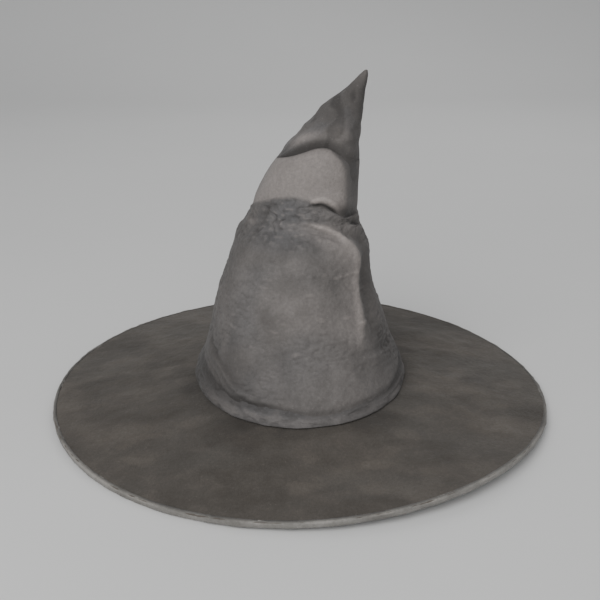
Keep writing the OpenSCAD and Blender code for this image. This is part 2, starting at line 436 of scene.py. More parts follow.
def waves(angle, z, around, length, seed, count=28):
    """A smooth random field with mean 0 and spread 1: a sum of cosines, each with a whole number of
    waves round the hat (spread around) and a wavelength up it of the order of length."""
    rng = np.random.default_rng(seed)
    turns_round = np.rint(rng.normal(0, around, count))
    climb = rng.normal(0, 2 * math.pi / length, count)
    start = rng.uniform(0, 2 * math.pi, count)
    total = sum(np.cos(np.radians(angle) * n + k * z + p) for n, k, p in zip(turns_round, climb, start))
    return total * math.sqrt(2 / count)


def clouds(points, length, seed, count=32):
    """A smooth random field in space with mean 0 and spread 1: a sum of cosines that run in all
    directions, with wavelengths round about length. Points may be stretched to draw it out."""
    rng = np.random.default_rng(seed)
    way = rng.normal(0, 1, (count, 3))
    way *= (2 * math.pi / length * rng.uniform(0.6, 1.4, count) / np.linalg.norm(way, axis=1))[:, None]
    start = rng.uniform(0, 2 * math.pi, count)
    return sum(np.cos(points @ w + p) for w, p in zip(way, start)) * math.sqrt(2 / count)


def unit(vectors):
    """The same directions with length 1."""
    return vectors / np.linalg.norm(vectors, axis=-1, keepdims=True)


def normals(points):
    """Outward unit normals of points[angle, row]: the way round the hat crossed with the way up."""
    along = np.roll(points, -1, 0) - np.roll(points, 1, 0)
    return unit(np.cross(along, np.gradient(points, axis=1)))


def inside_of(wall, thick):
    """The wall moved in by thick. Its rows run downwards."""
    return wall - normals(wall[:, ::-1])[:, ::-1] * thick[..., None]


def show_for(piece, slot, *nodes):
    """Hides the CAD nodes that a piece is shown for and returns the piece. The slot is not used."""
    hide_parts(*nodes)
    return piece


# -------- crown

FELT_T = 2.0
FOOT_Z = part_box("crown_lower_felt")[0].z / MM
TIP_TOP_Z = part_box("crown_tip_felt")[1].z / MM

# height, half of the width, and shift to the leaning side
CROWN_OUTLINE = ((21.1, 89.5, 0.0), (34, 86.5, 0.0), (48, 81.0, -1.0), (86, 71.3, -3.0), (104, 66.8, -4.2),
                 (122, 61.8, -1.5), (140, 58.0, 1.5), (149, 54.2, 0.4), (158, 48.4, 1.2), (166, 44.8, 3.4),
                 (175, 43.4, 4.8), (192, 39.3, 9.2), (209, 34.2, 14.3), (225, 28.0, 20.4))
TIP_OUTLINE = ((186, 41.0, 7.6), (200, 37.0, 11.8), (209, 34.2, 14.3), (217, 31.3, 17.3), (225, 27.6, 20.5),
               (233, 24.6, 24.8), (241, 21.6, 28.6), (249, 17.3, 33.6), (257, 13.2, 38.0), (265, 8.9, 42.7),
               (273, 5.5, 47.9), (278, 3.1, 50.8), (281, 1.2, 52.3))


def half_width(outline, z):
    """Half of an outline's width at height z."""
    return curve_through(z, [(k[0], k[1]) for k in outline])


def shift(outline, z):
    """How far an outline's middle lies towards the leaning side at height z."""
    return curve_through(z, [(k[0], k[2]) for k in outline])


def oval(outline, angle, z, deeper):
    """Points on ovals that follow an outline. Half their depth front to back is its half width plus
    deeper."""
    a = half_width(outline, z)
    return ellipse(angle, a, a + deeper, z) + xyz(shift(outline, z), 0.0, 0.0)


def neck_line(angle):
    """Height of the neck crease: level at the back and sides, arched over the front."""
    from_front = apart(angle, -108)
    return 165 + 21 * hill(from_front, 0, np.where(from_front < 0, 66, 58))


def tip_line(angle):
    """Height of the rim that the tip comes out of."""
    return 209.5 + 15.5 * side_hill(angle, -98, 50)


def rim_roll(angle):
    """How far the felt rolls in at the rim before it turns down inside: most at the front and back."""
    return 0.1 + 2.2 * side_hill(angle, -98, 46) + 1.4 * side_hill(angle, 85, 40)


def rim_radius(angle):
    """Radius of the turned edge itself."""
    return 0.4 + 0.6 * side_hill(angle, -98, 46)


def roll_height(angle):
    """Height of the soft roll at the crown's foot: low at the front, drawn up at both sides."""
    return (8.0 + 12 * side_hill(angle, 180, 40) + 13 * side_hill(angle, 12, 21)
            + 3 * side_hill(angle, 90, 40) + 0.7 * waves(angle, 0 * angle, 6, 50, 41))


def tuck(z, line, width, swell, sink, lap):
    """Felt that doubles over itself at a line: the part below it swells out and rises by lap, and the
    part above it sinks in and drops by lap, so that it goes behind. Returns the moves out and up."""
    t = (z - line) / width
    below, above = hill(t, -0.6, 0.6), hill(t, 0.6, 0.6)
    return swell * below - sink * above, lap * (below - above)


def along_felt(angle, centre, z):
    """Distance in millimetres round the crown from the angle centre."""
    return np.radians(apart(angle, centre)) * half_width(CROWN_OUTLINE, z)


def long_fold_distance(angle, z):
    """Distance in millimetres from the long fold that runs down the front of the leaning side, along
    the felt and square to the fold. It arches over at the top towards the front."""
    path = ((60, -49), (85, -43), (112, -40), (145, -44), (156, -54), (163, -68), (169, -88))
    turn = np.radians(curve_through(z + 0.5, path) - curve_through(z - 0.5, path))
    slant = np.sqrt(1 + (turn * half_width(CROWN_OUTLINE, z)) ** 2)
    return along_felt(angle, curve_through(z, path), z) / slant


def slumped_folds(angle):
    """Height and strength of the slumped folds at the crown's foot: left, right and rear."""
    falling = ((-60, 66), (-25, 59), (-7, 50), (5, 43), (20, 39), (60, 36))
    return ((curve_through(np.clip(apart(angle, -135), -60, 60), falling), side_hill(angle, -138, 29)),
            (58 - 0.22 * np.clip(apart(angle, -31), -45, 45), 0.7 * side_hill(angle, -24, 26)),
            (50 + 6 * np.sin(np.radians(2 * angle + 40)), side_hill(angle, 95, 48)))


def long_fold_strength(angle, z):
    """How far the long fold is made, and how much of it is the arch at its top."""
    made = ease(z, 58, 92) * (1 - ease(z, 163, 171)) * (np.abs(apart(angle, -50)) < 80)
    return made, ease(z, 146, 156)


# Features of the crown's felt. Each takes the angle, height and place of every point, and returns the
# moves out and up in millimetres and how much it adds to what is rubbed or lit by a painted highlight,
# grimy or darkened by painted shade, and cool in tone there.


def tucks(angle, z, place):
    """The neck crease, deep at the front of the leaning side and at the back and faint over the front,
    the collar crease below it, one like it at the back, and the slumped folds."""
    neck = neck_line(angle)
    depth = 0.16 + 0.78 * side_hill(angle, -34, 25) + 0.4 * side_hill(angle, 88, 48)
    collar, at_collar = 156 - 0.2 * np.clip(apart(angle, -11), -60, 60), side_hill(angle, -28, 22)
    back_collar, at_back_collar = 146 + 0.2 * apart(angle, 130), side_hill(angle, 112, 34)
    left, right, rear = slumped_folds(angle)
    out, up = np.zeros_like(z), np.zeros_like(z)
    # height, where it is made, width, swell, sink and lap of each
    for line, where, *sizes in ((neck + 1.3 * waves(angle, 0 * angle, 8, 50, 4), depth, 6.0, 1.7, 2.7, 3.7),
                                (collar, at_collar, 5.0, 1.7, 2.0, 2.8),
                                (back_collar, at_back_collar, 6.0, 2.0, 1.8, 3.0),
                                (*left, 6.5, 1.3, 1.1, 1.7), (*right, 6.0, 0.7, 1.1, 1.3),
                                (*rear, 6.0, 2.0, 1.5, 2.6)):
        tuck_out, tuck_up = tuck(z, line, *sizes)
        out += where * tuck_out
        up += where * tuck_up
    # painted shade in the neck, collar and fold creases, and a painted highlight on the collar lip just below
    # the neck crease
    grime_and_shade = ((0.95 * side_hill(angle, -34, 27) + 0.3 * side_hill(angle, 88, 48)) * hill(z, neck + 3, 4.0)
             + 0.75 * hill(z, collar + 2.5, 3.4) * at_collar + 0.3 * hill(z, left[0] + 2.5, 3.5) * left[1]
             + 0.5 * hill(z, right[0] + 2.5, 3.5) * right[1])
    return out, up, 0.2 * hill(z, neck - 4, 3) * side_hill(angle, -40, 18), grime_and_shade, 0


def small_wrinkles(angle, z, place):
    """Three smaller wrinkles that run along each slumped fold, below it."""
    sway = 1.2 * waves(angle, z, 6, 40, 14)
    ripple = sum(where * hill(z - line + sway, -step * k, 1.3) * (1.1 - 0.25 * k)
                 for (line, where), step in zip(slumped_folds(angle), (5.5, 5.0, 6.0)) for k in (1, 2, 3))
    # painted shade in the hollows of the wrinkles
    return -0.9 * ripple, 0, 0, 0.3 * ripple, 0


def neck_lip(angle, z, place):
    """A short lip over a hollow, above the neck crease at its deep end."""
    along = apart(angle, -68)
    path = ((-30, 182.5), (-16, 184.5), (-8, 185), (4, 181.5), (22, 172))
    line = curve_through(np.clip(along, -30, 22), path)
    where = ease(along, -24, -12) * (1 - ease(along, 5, 18))
    out = where * (2.1 * hill(z, line + 1.8, 2.2) - 2.6 * hill(z, line - 3.0, 2.8))
    # a painted highlight along the lip and painted shade in the hollow below it
    return (out, -where * 1.2 * hill(z, line + 0.8, 1.9), where * hill(z, line + 1.6, 1.4),
            0.9 * where * hill(z, line - 2.2, 1.9), 0)


def long_fold(angle, z, place):
    """The long fold, hollow beyond it, rubbed pale and given a painted highlight along its crest, and sharper
    where it arches over. Painted shade darkens the plane beyond it.
    """
    d = long_fold_distance(angle, z)
    made, arch = long_fold_strength(angle, z)
    out = made * (2.7 * hill(d, 0, 5.4 - 2.8 * arch) + 1.4 * hill(d, -8, 10) * (1 - 0.6 * arch)
                  - 2.4 * hill(d, 14 - 8 * arch, 9 - 5 * arch) - arch * hill(d, -5, 2.5))
    # painted highlight along the crest, brightest and narrowest on the arch; painted shade on the plane
    # beyond
    rubbed_and_highlight = made * (0.6 * hill(d, -0.5, 5.2 - 3.0 * arch) + 0.22 * hill(d, -9, 9)
                     + 0.9 * arch * hill(d, 0, 1.6) * side_hill(angle, -66, 15))
    return out, 0, rubbed_and_highlight, 0.42 * made * ease(d, 4, 14) * (1 - ease(d, 45, 75)) * (1 - arch), 0


def far_folds(angle, z, place):
    """A softer long fold down the back, and a short upright crease and a knob on the front's far side."""
    d = along_felt(angle, 118 + 0.1 * (z - 100), z)
    upright = hill(along_felt(angle, -139 + 0.2 * (z - 165), z), 0, 2.6)
    upright *= ease(z, 140, 154) * (1 - ease(z, 176, 186))
    knob = hill(z, 162.5, 1.8) * side_hill(angle, -158, 9)
    out = ease(z, 50, 80) * (1 - ease(z, 140, 158)) * 1.8 * (hill(d, 0, 6) - hill(d, -15, 10))
    # a painted highlight on the knob and painted shade in the upright crease
    return out + knob - 1.3 * upright, 0, 0.6 * knob, 0.3 * upright, 0


def crumples(angle, z, place):
    """Crumpled felt with veins below the neck, calm on the long fold."""
    drawn = place * (0.85, 0.85, 1.3)
    crumple, fine = clouds(drawn, 12, 11), clouds(drawn, 5.5, 12)
    calm = 0.85 * long_fold_strength(angle, z)[0] * hill(long_fold_distance(angle, z), 0, 6)
    where = ease(z, 138, 158) * (1 - ease(z - neck_line(angle), -4, 5)) * (1 - calm)
    where *= 0.4 + 0.6 * side_hill(angle, -110, 54)
    veins = hill(crumple, 0, 0.34) * ease(clouds(place, 22, 13), -0.7, 0.9)
    out = where * (0.5 * crumple - veins + 0.34 * fine)
    # darker through the crumpled band, with painted shade in the veins and hollows and painted highlights on
    # the crests
    grime_and_shade = where * (0.16 + 0.3 * veins + 0.2 * ease(-fine, 0.7, 1.8))
    return out, 0, 0.25 * where * ease(fine, 0.7, 1.8), grime_and_shade, 0.5 * where * side_hill(angle, -110, 56)


def fine_wrinkles(angle, z, place):
    """Soft swells, patches of fine wrinkles, scratches and the felt's own unevenness."""
    patches = ease(clouds(place, 70, 21), -0.5, 1.1) * (1 - ease(z, 150, 180))
    short = clouds(place * (0.45, 0.45, 1.6), 9, 22)
    scratch = ease(short, 1.35, 2.0) * ease(clouds(place, 30, 26), 0.3, 1.3) * (1 - ease(z, 145, 165))
    uneven = 0.14 * clouds(place, 7, 23) * (1 - 0.7 * ease(z - neck_line(angle), 0, 8))
    swells = 0.9 * clouds(place, 110, 1) + 0.55 * clouds(place, 48, 2)
    # painted highlights on the scratches and painted shade in the fine wrinkles
    return (swells + uneven + 0.5 * scratch - patches * hill(short, 0, 0.32), 0, 0.2 * scratch,
            0.2 * patches * hill(short, 0, 0.3), 0.25 * patches * side_hill(angle, -115, 40))


def pale_face(angle, z, place):
    """The smooth face above the neck, pale from rubbing and from a painted highlight, with an edge at its
    leaning side, painted shade on the plane beyond that edge, and the rim's inward roll.
    """
    above_neck = z - neck_line(angle)
    face = ease(above_neck, 2, 10)
    past_edge = apart(angle, curve_through(z, ((180, -48), (203, -50), (212, -57), (222, -76))))
    front = ease(apart(angle, -100), -100, -58) * (1 - ease(past_edge, -4, 6))
    out = face * (1.5 * hill(past_edge, -2, 12) - 1.7 * hill(past_edge, 24, 17))
    out -= face * 1.1 * side_hill(angle, -92, 24)
    out -= rim_roll(angle) * ease(z - tip_line(angle), -6, 0) ** 2
    # the face's paleness is partly a painted highlight; the grime beyond the edge is painted shade on the
    # side plane
    return out, 0, ease(above_neck, -0.5, 4) * 0.52 * front, face * 0.42 * hill(past_edge, 25, 21), 0


def back_seam(angle, z, place):
    """A sewn seam down the back, puckered at every stitch."""
    d = along_felt(angle, 90, z)
    pucker = 1 + 0.5 * np.cos(z * 2 * math.pi / 7)
    out = 0.5 * pucker * (hill(d, 3.4, 2) + hill(d, -3.4, 2)) - hill(d, 0, 1.3)
    # painted shade in the seam's groove
    return out, 0, 0, 0.5 * hill(d, 0, 1.0), 0


def stains_and_shade(angle, z, place):
    """Painted shade above the roll, low down on both sides and up the side away from the lean; grime in
    clouds; rubbed clouds.
    """
    above_roll = hill(z, FOOT_Z + roll_height(angle) + 1.5, 2.6)
    # painted shade in the groove above the roll
    grime_and_shade = above_roll * (0.35 + 0.6 * side_hill(angle, -126, 36) + 0.5 * side_hill(angle, -8, 26))
    grime_and_shade += 0.22 * hill(z, 39, 5) * side_hill(angle, -128, 17)
    # painted shade low on the left front and on the right, and up the left side to the neck
    grime_and_shade += 0.24 * side_hill(angle, -140, 28) * (1 - ease(z, 50, 84))
    grime_and_shade += 0.3 * side_hill(angle, -12, 28) * (1 - ease(z, 54, 80))
    grime_and_shade += 0.5 * side_hill(angle, 178, 38) * (1 - ease(z - neck_line(angle), -4, 8))
    grime_and_shade += 0.10 * ease(clouds(place, 44, 25), 0.2, 1.6)
    return 0, 0, 0.12 * ease(clouds(place, 60, 24), 0, 1.6), grime_and_shade, 0


CROWN_FEATURES = (tucks, small_wrinkles, neck_lip, long_fold, far_folds, crumples, fine_wrinkles, pale_face,
                  back_seam, stains_and_shade)

# points round each felt and up its outside, the gap under the crown, and the height of the tip's skirt
CROWN_TURNS, CROWN_ROWS = 360, 240
TIP_TURNS, TIP_ROWS = 240, 150
FOOT_GAP = 0.2
TIP_LOW = 188.0


def crown_surface(angle, z):
    """Outside of the crown's lower and middle lengths: ovals that narrow and lean as they rise."""
    return oval(CROWN_OUTLINE, angle, z, 16.2 * (1 - ease(z, FOOT_Z, 150)) + 3.5 * ease(z, 185, 215))


def tip_surface(angle, z):
    """Outside of the tip: rings that narrow to the point, a little deeper front to back low down."""
    return oval(TIP_OUTLINE, angle, z, 3.5 * (1 - ease(z, 214, 246)))


def make_crown():
    """The crown felt from its foot to the rim at the tip crease, folded over and down inside it."""
    even = np.linspace(0, 1, 400)
    crowd = np.cumsum(1 + 1.3 * hill(even, 0.78, 0.13))
    crowd = (crowd - crowd[0]) / (crowd[-1] - crowd[0])
    angle, v = over_grid(CROWN_TURNS, np.interp(np.linspace(0, 1, CROWN_ROWS), crowd, even))
    foot = FOOT_Z + FOOT_GAP
    z = foot + (tip_line(angle) - foot) * v
    base = crown_surface(angle, z)
    features = [feature(angle, z, base) for feature in CROWN_FEATURES]
    out, up, rubbed_and_highlight, grime_and_shade, cool = (sum(parts) for parts in zip(*features))
    settle = ease(z, FOOT_Z, FOOT_Z + 9)
    outer = base + normals(base) * (out * settle)[..., None]
    outer[..., 2] += up * settle
    # painted shade just under the rim at the front, where the tip goes in
    grime_and_shade += 0.35 * ease(z - tip_line(angle), -2.0, 0) * side_hill(angle, -98, 60)

    # rim: a round edge, then a wall down inside, the last row of which ends at the foot
    side = normals(outer)[:, -1:, :]
    side[..., 2] = 0
    bend = np.radians([40, 75, 110, 145])[None, :, None]
    turn_r = rim_radius(angle[:, :1])[..., None]
    lip = outer[:, -1:, :] - side * turn_r * (1 - np.cos(bend))
    lip[..., 2:] += turn_r * np.sin(bend)
    fall = np.array([4, 12, 24, 40, 60, 85, 110, 135, 160, 1000])
    inner_z = np.maximum(z[:, -1:] - fall, foot)
    inner_angle = angle[:, :1] + 0 * inner_z
    wall = crown_surface(inner_angle, inner_z)
    thick = rim_roll(inner_angle) + 2 * rim_radius(inner_angle)
    thick = thick + (5.0 - thick) * ease(z[:, -1:] - inner_z, 6, 30) + 2.2 * hill(inner_z, 172, 26)
    near_foot = ease(inner_z, FOOT_Z, 60)
    inner = inside_of(wall, thick * near_foot + FELT_T * (1 - near_foot))
    points = np.concatenate([outer, lip, inner], 1)
    # the inside of the crown takes 0.35 of grime as painted shade
    return ring_piece("crown_felt_main", points, crown_felt, None, (rubbed_and_highlight, grime_and_shade, cool), (0, 0.35, 0))


def make_tip():
    """The tip felt: a skirt tucked inside the rim of the crown, and a crumpled cone to a round point."""
    angle, v = over_grid(TIP_TURNS, np.linspace(0, 1, TIP_ROWS))
    z = TIP_LOW + (TIP_TOP_Z - 0.4 - TIP_LOW) * (1 - (1 - v) ** 1.15)
    base = tip_surface(angle, z)
    slim = ease(half_width(TIP_OUTLINE, z), 0.8, 12)
    above_rim = z - tip_line(angle)
    lumps = 0.8 * clouds(base, 40, 31) + 0.4 * clouds(base, 15, 32) + 0.12 * clouds(base, 6, 33)
    out = slim * ease(above_rim, 2, 10) * lumps * (1 - 0.65 * side_hill(angle, 0, 55))

    # the skirt, drawn in by inset below the rim and by more at its lower edge
    across = np.maximum(side_hill(angle, -98, 46), side_hill(angle, 85, 40))
    inset = rim_roll(angle) + 2 * rim_radius(angle) + 0.05 + 0.3 * across
    reach = 1.2 + 8.3 * across
    out -= inset * (1 - ease(above_rim / reach, 0.05, 1)) + 1.8 * (1 - ease(z - TIP_LOW, 2, 14))

    # swellings and dents: amount, height and its spread, angle and its spread
    slant = 0.12 * apart(angle, -140)
    for amount, height, high, centre, wide in (
            (1.5, 252, 5, 180, 42), (-1.0, 243, 5, 175, 40), (1.7, 231 + slant, 5, -141, 27),
            (-1.1, 239 + slant, 3, -138, 32), (0.4, 262, 6, 0, 60),
            (-1.5, 240 + 6 * np.sin(np.radians(angle)), 3.2, -70, 60)):
        out += slim * amount * hill(z, height, high) * side_hill(angle, centre, wide)
    seam = np.radians(apart(angle, 90)) * half_width(TIP_OUTLINE, z)
    out -= 0.7 * slim * hill(seam, 0, 1.1)
    outer = base + normals(base) * out[..., None]
    peak = outer[:, -1:, :].mean(0, keepdims=True) + (0.2, 0, 0.4)

    # inside: the same wall moved in, and above cone_from a cone round the middle line
    cone_from, inner_top = 240, 270.0
    inner_angle, inner_v = over_grid(TIP_TURNS, np.linspace(0.93, 0, 12))
    inner_z = TIP_LOW + (TIP_TOP_Z - TIP_LOW) * inner_v
    wall = tip_surface(inner_angle, inner_z)
    buried = 1 - ease((inner_z - tip_line(inner_angle)) / reach[:, :1], 0.05, 1)
    inner = inside_of(wall, 2.2 + inset[:, :1] * buried + 1.8 * (1 - ease(inner_z - TIP_LOW, 2, 14)))
    radius = half_width(TIP_OUTLINE, inner_z)
    middle = xyz(shift(TIP_OUTLINE, inner_z), 0.0, inner_z)
    cone = middle + (wall - middle) * np.minimum(1, (radius - 2.4) / radius)[..., None]
    inner = np.where(inner_z[..., None] > cone_from, cone, inner)
    inner_peak = np.array([[[shift(TIP_OUTLINE, np.array(inner_top)), 0, inner_top]]])
    peaks = np.repeat(np.concatenate([peak, inner_peak], 1), TIP_TURNS, 0)
    points = np.concatenate([outer, peaks, inner], 1)

    # painted shade below the rim, on the tip's right side and in its seam; also darker towards the top and in
    # clouds
    grime_and_shade = (1 - ease(above_rim, 3, 9)) * (0.1 + 0.5 * side_hill(angle, -98, 50))
    grime_and_shade += 0.5 * (1 - ease(above_rim, 5, 11)) * side_hill(angle, -150, 34) + 0.3 * ease(z, 234, 254)
    grime_and_shade += 0.2 + 0.36 * ease(clouds(base * (1, 1, 0.5), 15, 37), 0.1, 1.5)
    grime_and_shade += 0.35 * side_hill(angle, -15, 42) + 0.3 * hill(seam, 0, 1.0)
    # painted highlights on the swelling at the front's far side, at the point and on the front above the rim
    rubbed_and_highlight = 0.75 * hill(z, 230 + slant, 4.5) * side_hill(angle, -141, 25) + 0.35 * hill(z, 281, 9)
    rubbed_and_highlight += 0.3 * hill(z, 236, 8) * side_hill(angle, -75, 22)
    cool = 0.3 * ease(clouds(base, 30, 35), 0.2, 1.4)
    # the inside of the tip takes 0.3 of grime as painted shade
    painted = (rubbed_and_highlight, grime_and_shade, cool)
    return close_poles(ring_piece("crown_felt_tip", points, crown_felt, None, painted, (0, 0.3, 0)))


crown_main = show_for(make_crown(), "crown_felt", "crown_lower_felt", "crown_middle_felt")
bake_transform(crown_main)

crown_tip = show_for(make_tip(), "crown_felt", "crown_tip_felt")
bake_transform(crown_tip)

# -------- roll round the crown's foot


def make_roll():
    """A soft roll of felt that flares out at the foot. Its outer side starts round at the bottom and
    thins towards its top, where it runs into the crown's wall; its inner side stays in that wall."""
    outer_rows, inner_rows = 34, 8
    rise = np.concatenate([np.linspace(0, 1, outer_rows) ** 1.25, np.linspace(1, 0, inner_rows)])
    angle, up = over_grid(400, rise)
    outer = (np.arange(outer_rows + inner_rows) < outer_rows)[None, :]
    front = side_hill(angle, -116, 36)
    thick = 2.9 + 4.1 * np.sin(np.radians(angle)) ** 2 + 0.5 * waves(angle, 0 * angle, 6, 50, 42)
    z = FOOT_Z + FOOT_GAP + 1.25 * roll_height(angle) * up
    bottom = np.sqrt(1 - (1 - np.minimum(up / 0.12, 1)) ** 2)
    thinning = (1 - up) ** (0.9 - 0.5 * side_hill(angle, -6, 28))
    push = np.where(outer, -0.5 + (thick + 0.5) * bottom * thinning, -1.3)
    base = crown_surface(angle, z)
    drawn = base * (0.55, 0.55, 1.8)
    wrinkle = 0.75 * clouds(drawn, 15, 43) + (0.25 + 0.25 * front) * clouds(drawn, 5, 44)
    push += outer * np.sin(np.pi * np.minimum(up * 1.6, 1)) * wrinkle * 0.8
    push += outer * 0.9 * side_hill(angle, -14, 30) * (hill(up, 0.62, 0.1) - hill(up, 0.42, 0.1))
    points = base + ellipse(angle, 1, 1, 0.0) * push[..., None]
    points[..., 2] -= outer * (0.3 + 0.15 * np.maximum(push, 0)) * (1 - up) ** 4
    # painted shade at the roll's foot on the brim, in the groove along its top, in its wrinkle hollows, at
    # its left end and on its right side
    grime_and_shade = (0.24 + 0.35 * hill(up, 0, 0.12) + (0.2 + 0.65 * side_hill(angle, -8, 30)) * ease(up, 0.5, 0.85)
             + 0.22 * hill(wrinkle, -1.2, 0.5) * outer
             + 0.6 * side_hill(angle, -168, 44) + 0.2 * side_hill(angle, -8, 36)
             + 0.25 * side_hill(angle, -24, 26) * (1 - ease(up, 0.1, 0.5)))
    # painted highlights on the roll's front and its wrinkle crests; rubbed clouds
    rubbed_and_highlight = (0.10 + 0.2 * front) * hill(up, 0.33, 0.25) + 0.2 * front * ease(wrinkle, 0.3, 1.4)
    rubbed_and_highlight += 0.15 * ease(clouds(base, 40, 45), 0.2, 1.5)
    return ring_piece("base_roll", points, crown_felt, "base", (rubbed_and_highlight, grime_and_shade, 0.2 + 0.35 * front))


base_roll = show_for(make_roll(), "crown_felt", "crown_base_band")

# -------- brim

# radius and height of the bound edge, and how far inside it the felts end
BRIM_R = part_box("brim_edge_binding")[1].x / MM
EDGE_H = 4.8
EDGE_INSET = 0.6
HOLE_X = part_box("crown_lower_felt")[1].x / MM - FELT_T
HOLE_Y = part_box("crown_lower_felt")[1].y / MM - FELT_T

# each layer of the brim: how far its top lies below the brim's top, and its thickness
TOP_LAYER, FOAM_LAYER, UNDER_LAYER = (0.0, 1.0), (1.1, 1.6), (2.8, 0.8)


def edge_wave(angle):
    """How far the brim's edge rises and falls round the hat."""
    t = np.radians(angle)
    swing = -0.7 * np.cos(2 * t) - 1.9 * np.sin(2 * t) - 1.4 * np.cos(3 * t) - 0.5 * np.sin(3 * t)
    return swing + 2.4 * side_hill(angle, -40, 28)


def brim_top(angle, s):
    """Top of the brim from its edge (s = 0) to the crown's foot (s = 1): a shallow cone that steepens
    towards the crown, with a wavy edge and soft swells."""
    edge = BRIM_R - EDGE_INSET
    flat = ellipse(angle, edge + (HOLE_X - edge) * s, edge + (HOLE_Y - edge) * s, 0.0)
    swell = 0.9 * clouds(flat, 150, 51) + 0.3 * clouds(flat, 55, 52)
    z = EDGE_H + (FOOT_Z - EDGE_H) * s ** 1.12 + edge_wave(angle) * (1 - s) ** 2
    flat[..., 2] = z + swell * np.sin(np.pi * np.clip(s, 0, 1)) ** 1.5
    return flat


def brim_bumps(points, s, seed):
    """Small unevenness of the felt away from its sewn edges."""
    flat = points * (1, 1, 0)
    bumps = 0.13 * clouds(flat, 17, seed) + 0.05 * clouds(flat, 7, seed + 1)
    return bumps * np.sin(np.pi * np.clip(s, 0, 1)) ** 0.5


def brim_paint(points, s, seed):
    """Painted shade next to the crown, grime in drawn-out clouds, rubbed felt in others and along the edge.
    """
    drawn = points * (0.6, 1.0, 0)
    out = np.hypot(points[..., 0] / HOLE_X, points[..., 1] / HOLE_Y)
    # painted shade on the brim next to the crown; grime in clouds
    grime_and_shade = 0.25 * (1 - ease(out, 1.05, 1.35)) + 0.26 * ease(clouds(drawn, 60, seed), 0.1, 1.6)
    grime_and_shade += 0.16 * ease(clouds(drawn, 26, seed + 1), 0.3, 1.6)
    rubbed_and_highlight = 0.16 * ease(clouds(drawn, 70, seed + 2), 0.2, 1.6) + 0.25 * hill(s, 0, 0.02)
    rubbed_and_highlight += 0.12 * ease(clouds(drawn, 20, seed + 3), 0.4, 1.8)
    return rubbed_and_highlight, grime_and_shade, 0.4 * ease(clouds(drawn, 80, seed + 4), 0, 1.4)


def brim_layer(name, material, s0, layer, columns, rows, felt_side=0):
    """One layer of the brim, from s0 to the crown's foot. felt_side is 1 for felt that shows above, -1
    for felt that shows below and 0 for a plain hidden layer."""
    drop, thick = layer
    fine, coarse = np.linspace(s0, 1, rows), np.linspace(s0, 1, rows // 6)
    up_s, down_s = (fine, coarse) if felt_side >= 0 else (coarse, fine)
    angle = turns(columns)[:, None]
    above, below = brim_top(angle, up_s), brim_top(angle, down_s)
    above[..., 2] -= drop
    below[..., 2] -= drop + thick
    painted = None
    if felt_side > 0:
        above[..., 2] += brim_bumps(above, up_s, 53)
        painted = brim_paint(above, up_s, 55)
    if felt_side < 0:
        below[..., 2] -= brim_bumps(below, down_s, 63)
        hidden = np.zeros((columns, len(coarse)))
        painted = [np.hstack([hidden, p[:, ::-1]]) for p in brim_paint(below, down_s, 65)]
    return ring_piece(name, np.concatenate([above, below[:, ::-1]], 1), material, "base", painted)


top_layer = brim_layer("brim_felt_top", brim_felt, 0.0, TOP_LAYER, 480, 132, 1)
show_for(top_layer, "brim_felt", "brim_top_felt")
show_for(brim_layer("brim_foam", stiffener_foam, 0.04, FOAM_LAYER, 180, 30), "stiffener", "brim_stiffener")
under_layer = brim_layer("brim_felt_under", brim_felt, 0.0, UNDER_LAYER, 400, 108, -1)
show_for(under_layer, "brim_felt", "brim_under_felt")


def make_binding():
    """Tape that wraps the edge: over the top for a few millimetres, round the edge, and under it."""
    angle = turns(720)[:, None]
    edge, further_in = np.split(brim_top(angle, np.array([0.0, 0.03])), 2, axis=1)
    run = np.hypot(edge[..., 0] - further_in[..., 0], edge[..., 1] - further_in[..., 1])
    slope = (further_in[..., 2] - edge[..., 2]) / run
    # inwards from the edge, above the foot of the edge; outside first, then the inside of the tape
    outside = ((8.0, 0.0), (5.0, -0.1), (2.6, -0.05), (1.1, 0.05), (0.35, 0.55), (0.05, 1.3), (0.0, 2.2),
               (0.0, 3.2), (0.1, 4.0), (0.45, 4.7), (1.1, 5.05), (2.0, 5.15), (3.0, 5.1))
    inside = ((3.0, 4.85), (1.6, 4.6), (0.75, 4.1), (0.6, 2.4), (0.75, 0.85), (2.6, 0.6), (5.0, 0.6),
              (8.0, 0.6))
    inwards, rise = np.array(outside + inside).T[:, None, :]
    worn = 0.16 * waves(angle, inwards * 6, 40, 30, 71) + 0.10 * waves(angle, inwards * 6, 120, 20, 72)
    worn = np.where(np.arange(rise.size) < len(outside), worn, 0)
    radius = BRIM_R - inwards + worn * (rise > 0.3)
    z = edge[..., 2] - EDGE_H + rise + slope * inwards + worn * (rise > 4)
    grime_and_shade = np.where(rise > 4.9, 0.62 * ease(inwards, 0.3, 2.2), 0) + 0.3 * (rise < 0.4)
    grime_and_shade = grime_and_shade + 0.22 * ease(waves(angle, inwards, 14, 30, 73), 0.2, 1.5)
    rubbed_and_highlight = 0.3 * hill(rise, 4.5, 0.9) * ease(waves(angle, inwards, 20, 30, 74), -0.8, 1.2)
    points = ellipse(angle, radius, radius, z)
    return ring_piece("brim_binding", points, edge_felt, "base", (rubbed_and_highlight, grime_and_shade, 0 * grime_and_shade))


binding = show_for(make_binding(), "edge_binding", "brim_edge_binding")

# how far the wire lies in from the bound edge and below the top of the brim
WIRE_INSET = 2.6
WIRE_DEPTH = 1.9


